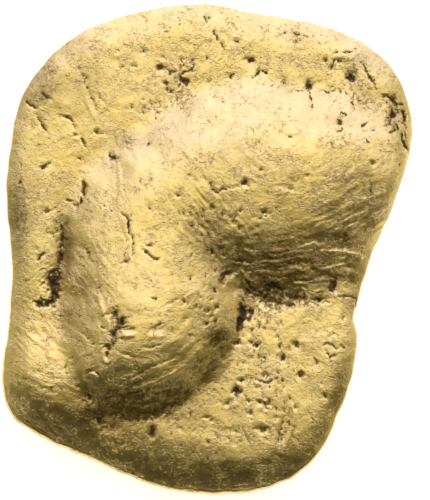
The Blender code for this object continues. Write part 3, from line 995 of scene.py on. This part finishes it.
def gold_material():
    """Worn gold: polished high places, brown lines and specks, near-black earth in its pits."""
    material, shader = new_material("worn_gold")
    n = Nodes(material.node_tree)
    place = n.add("TexCoord").outputs["Object"]
    marks = n.attribute("marks")
    dirt, stain_and_shade, hollow = n.add("SeparateColor", Color=marks["Color"]).outputs
    speck_share = marks["Alpha"]
    calm = n.attribute("calm")["Fac"]
    fine = n.random(place, *FINE_NOISE)
    grain = n.random(place, *GRAIN_NOISE)
    cloud = n.random(place, *CLOUD_NOISE)
    clumps = n.random(place, *CLUMP_NOISE)

    # Short strokes: the high places of a stretched noise are dark grooves, its low places are bright ridges
    sway = n.add("TexNoise", Vector=place, Scale=SWAY_NOISE[0], Detail=SWAY_NOISE[1]).outputs["Color"]
    curved = n.vectors("MULTIPLY_ADD", sway, (STROKE_SWAY, STROKE_SWAY, STROKE_SWAY), place)
    grooves, ridges = 0, 0
    for i, heading in enumerate(STROKE_HEADINGS):
        turned_place = n.add("VectorRotate", Vector=curved, Angle=math.radians(heading)).outputs[0]
        spot = n.vectors("MULTIPLY_ADD", turned_place, STROKE_WAVES, [i * shift for shift in STROKE_SHIFT])
        wave = n.random(spot, *STROKE_NOISE)
        high, low = STROKE_FROM, 1 - STROKE_FROM
        grooves = n.maths("MAXIMUM", n.span(wave, high, high + STROKE_RIM), grooves)
        ridges = n.maths("MAXIMUM", n.span(wave, low, low - STROKE_RIM), ridges)
    rubbed = n.times(n.span(clumps, *RUBBED_SPAN), n.span(calm, *LIVELY_SPAN))
    grooves = n.times(grooves, rubbed)
    ridges = n.times(ridges, rubbed)

    # Dimples and knobs: the two ends of a finer noise
    dimples = n.times(n.span(fine, *DIMPLE_SPAN), rubbed)
    knobs = n.times(n.span(fine, *KNOB_SPAN), rubbed)

    # Specks: the high places of a rough noise, thickest in the clumps and where the share asks for them, in
    # slightly broader dents
    rough_spots = n.random(n.vectors("ADD", place, SPECK_SHIFT), *SPECK_NOISE)
    spots = n.maths("MULTIPLY_ADD", speck_share, SPECK_SHARE_PULL, rough_spots)
    spots = n.maths("MULTIPLY_ADD", n.maths("SUBTRACT", clumps, 0.5), SPECK_CLUMP_PULL, spots)
    spots = n.maths("SUBTRACT", spots, n.times(calm, SPECK_CALM_PULL))
    dots = n.span(spots, SPECK_FROM, SPECK_FROM + SPECK_RIM)
    dents = n.span(spots, SPECK_FROM - 1.5 * SPECK_RIM, SPECK_FROM + 0.5 * SPECK_RIM)

    # Colour
    # Stains and painted shade: tarnish, and shade painted on slopes that face away from the light, broken up
    # by three noises
    tarnish_and_shade = stain_and_shade
    for part, span in zip((cloud, fine, grain), TARNISH_AND_SHADE_SPANS):
        tarnish_and_shade = n.times(tarnish_and_shade, n.span(part, *span))
    gold = n.mix(n.span(cloud, *GOLD_SPAN), *GOLDS)
    gold = n.layer(gold, tarnish_and_shade, *TARNISH_AND_SHADE)
    gold = n.layer(gold, n.times(hollow, n.span(fine, *THIN_SPAN)), *THIN_DIRT)
    gold = n.layer(gold, grooves, *GROOVE)
    gold = n.layer(gold, dimples, *DIMPLE)
    gold = n.layer(gold, dots, SPECKS_SHOWN, n.mix(n.span(speck_share, *DARK_SPECK_SPAN), *SPECKS))
    held = n.maths("ADD", dirt, n.maths("MULTIPLY_ADD", fine, DIRT_RAGGEDNESS, -DIRT_RAGGEDNESS / 2))
    brown = n.span(held, *BROWN_SPAN)
    gold = n.layer(gold, brown, *BROWN)
    earth = n.span(held, *EARTH_SPAN)
    n.put(shader["Base Color"], n.mix(earth, gold, EARTH))
    n.put(shader["Metallic"], n.span(earth, *METALLIC_SPAN))

    # Gloss
    dull = n.maths("MAXIMUM", n.maths("MAXIMUM", brown, dots), earth)
    rough = n.maths("ADD", n.span(grain, *ROUGHNESS_SPAN), n.times(tarnish_and_shade, TARNISH_AND_SHADE_ROUGHNESS))
    n.put(shader["Roughness"], n.maths("ADD", rough, n.times(dull, DIRT_ROUGHNESS)))

    # Fine relief
    lift = n.times(fine, FINE_LIFT)
    for part, height in zip((grain, dimples, knobs, grooves, ridges, dents), LIFTS):
        lift = n.maths("MULTIPLY_ADD", part, height, lift)
    lift = n.times(lift, n.span(stain_and_shade, *LIFT_SPAN))
    bump = n.add("Bump", Strength=1, Distance=BUMP_HEIGHT * MM, Height=lift)
    n.put(shader["Normal"], bump.outputs["Normal"])
    return material


def add_object(name, data):
    made = bpy.data.objects.new(name, data)
    bpy.context.scene.collection.objects.link(made)
    return made


def add_coin():
    coin = add_object("worn_stater", coin_mesh())
    coin.data.materials.append(gold_material())
    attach(coin, "root")
    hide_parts("stater_coin")


# The floor: its sides, its radius in metres, its opening as a share of the coin's outline, and its looks
FLOOR_SIDES = 240
FLOOR_RADIUS = 1.0
OPENING_SHARE = 0.86
FLOOR_LOOKS = {
    "Base Color": (0.85, 0.85, 0.85, 1),
    "Roughness": 0.9,
    "Emission Color": (1, 1, 1, 1),
    "Emission Strength": 0.7,
}


def add_floor():
    """A pale, matt, evenly lit table, with an opening that shows the coin's lower side from below."""
    side = np.arange(FLOOR_SIDES)
    bearing = side * 2 * math.pi / FLOOR_SIDES
    near = outline_radius(centred_outline(), bearing) * OPENING_SHARE * MM
    ring = np.stack((np.cos(bearing), np.sin(bearing), 0 * bearing), 1)
    corners = np.vstack((near[:, None] * ring, FLOOR_RADIUS * ring))
    after = (side + 1) % FLOOR_SIDES
    faces = np.stack((side, side + FLOOR_SIDES, after + FLOOR_SIDES, after), 1)
    mesh = bpy.data.meshes.new("floor")
    mesh.from_pydata(corners.tolist(), [], faces.tolist())
    floor = add_object("floor", mesh)
    material, shader = new_material("pale_floor")
    for name, value in FLOOR_LOOKS.items():
        shader[name].default_value = value
    floor.data.materials.append(material)


# The soft light, from the dome's dark side (-1) to its bright side (+1) along Y: where, how bright, and its
# shares of green and blue. The dark side is warm.
DOME = (
    (-1.00, 0.10, 0.84, 0.50),
    (-0.80, 0.04, 0.82, 0.36),
    (-0.50, 0.03, 0.82, 0.34),
    (-0.20, 0.25, 0.87, 0.34),
    (0.00, 1.20, 0.94, 0.57),
    (0.20, 1.46, 0.98, 0.96),
    (0.50, 1.40, 1.00, 1.54),
    (1.00, 1.34, 1.00, 1.64),
)
BRIGHTEST = 2.0

# How much the dome loses towards its sides, how much more of that on the left than on the right, and what
# is left at least
SIDE_LOSS = 1.9
SIDE_SWING = 0.5
LEAST_BRIGHT = 0.6

# The glow low down at the dome's sides: its colour, the heights where it starts to fade and ends, and how
# far towards a side it starts and is full
LOW_GLOW = (0.75, 0.68, 0.44, 1)
LOW_GLOW_HEIGHTS = (0.20, 0.38)
LOW_GLOW_SIDES = (0.45, 0.66)


def add_light():
    """A soft dome, brighter from the coin's upper end and dimmer from its sides."""
    world = bpy.data.worlds.new("studio")
    bpy.context.scene.world = world
    world.use_nodes = True
    n = Nodes(world.node_tree)
    background = world.node_tree.nodes["Background"].inputs
    x, y, z = n.add("SeparateXYZ", Vector=n.add("TexCoord").outputs["Generated"]).outputs
    ramp = n.add("ValToRGB", Fac=n.span(y, -1, 1))
    stops = ramp.color_ramp.elements
    for place, *_ in DOME[1:-1]:
        stops.new((place + 1) / 2)
    for stop, (_, glow, green, blue) in zip(stops, DOME):
        level = glow / BRIGHTEST
        stop.color = (level, level * green, level * blue, 1)
    loss = n.times(n.times(x, x), n.maths("MULTIPLY_ADD", x, -SIDE_SWING, SIDE_LOSS))
    low = n.span(n.maths("ABSOLUTE", z), *LOW_GLOW_HEIGHTS, 1, 0)
    side = n.span(n.maths("ABSOLUTE", x), *LOW_GLOW_SIDES)
    n.put(background["Color"], n.mix(n.times(low, side), ramp.outputs["Color"], LOW_GLOW))
    n.put(background["Strength"], n.maths("MAXIMUM", n.maths("SUBTRACT", BRIGHTEST, loss), LEAST_BRIGHT))


def add_camera():
    """A camera with a long lens, straight above the middle of the photograph's frame."""
    camera = add_object("camera", bpy.data.cameras.new("camera"))
    camera.data.lens = LENS
    camera.data.sensor_width = SENSOR
    camera.data.clip_start = MM
    camera.location = (
        (PHOTO_SIZE[0] / 2 - MIDDLE_PX[0]) * PIXEL * MM,
        (MIDDLE_PX[1] - PHOTO_SIZE[1] / 2) * PIXEL * MM,
        (CAMERA_DISTANCE + EDGE_HEIGHT) * MM,
    )
    bpy.context.scene.camera = camera


add_coin()
add_floor()
add_light()
add_camera()
bpy.context.scene.view_settings.view_transform = "Standard"
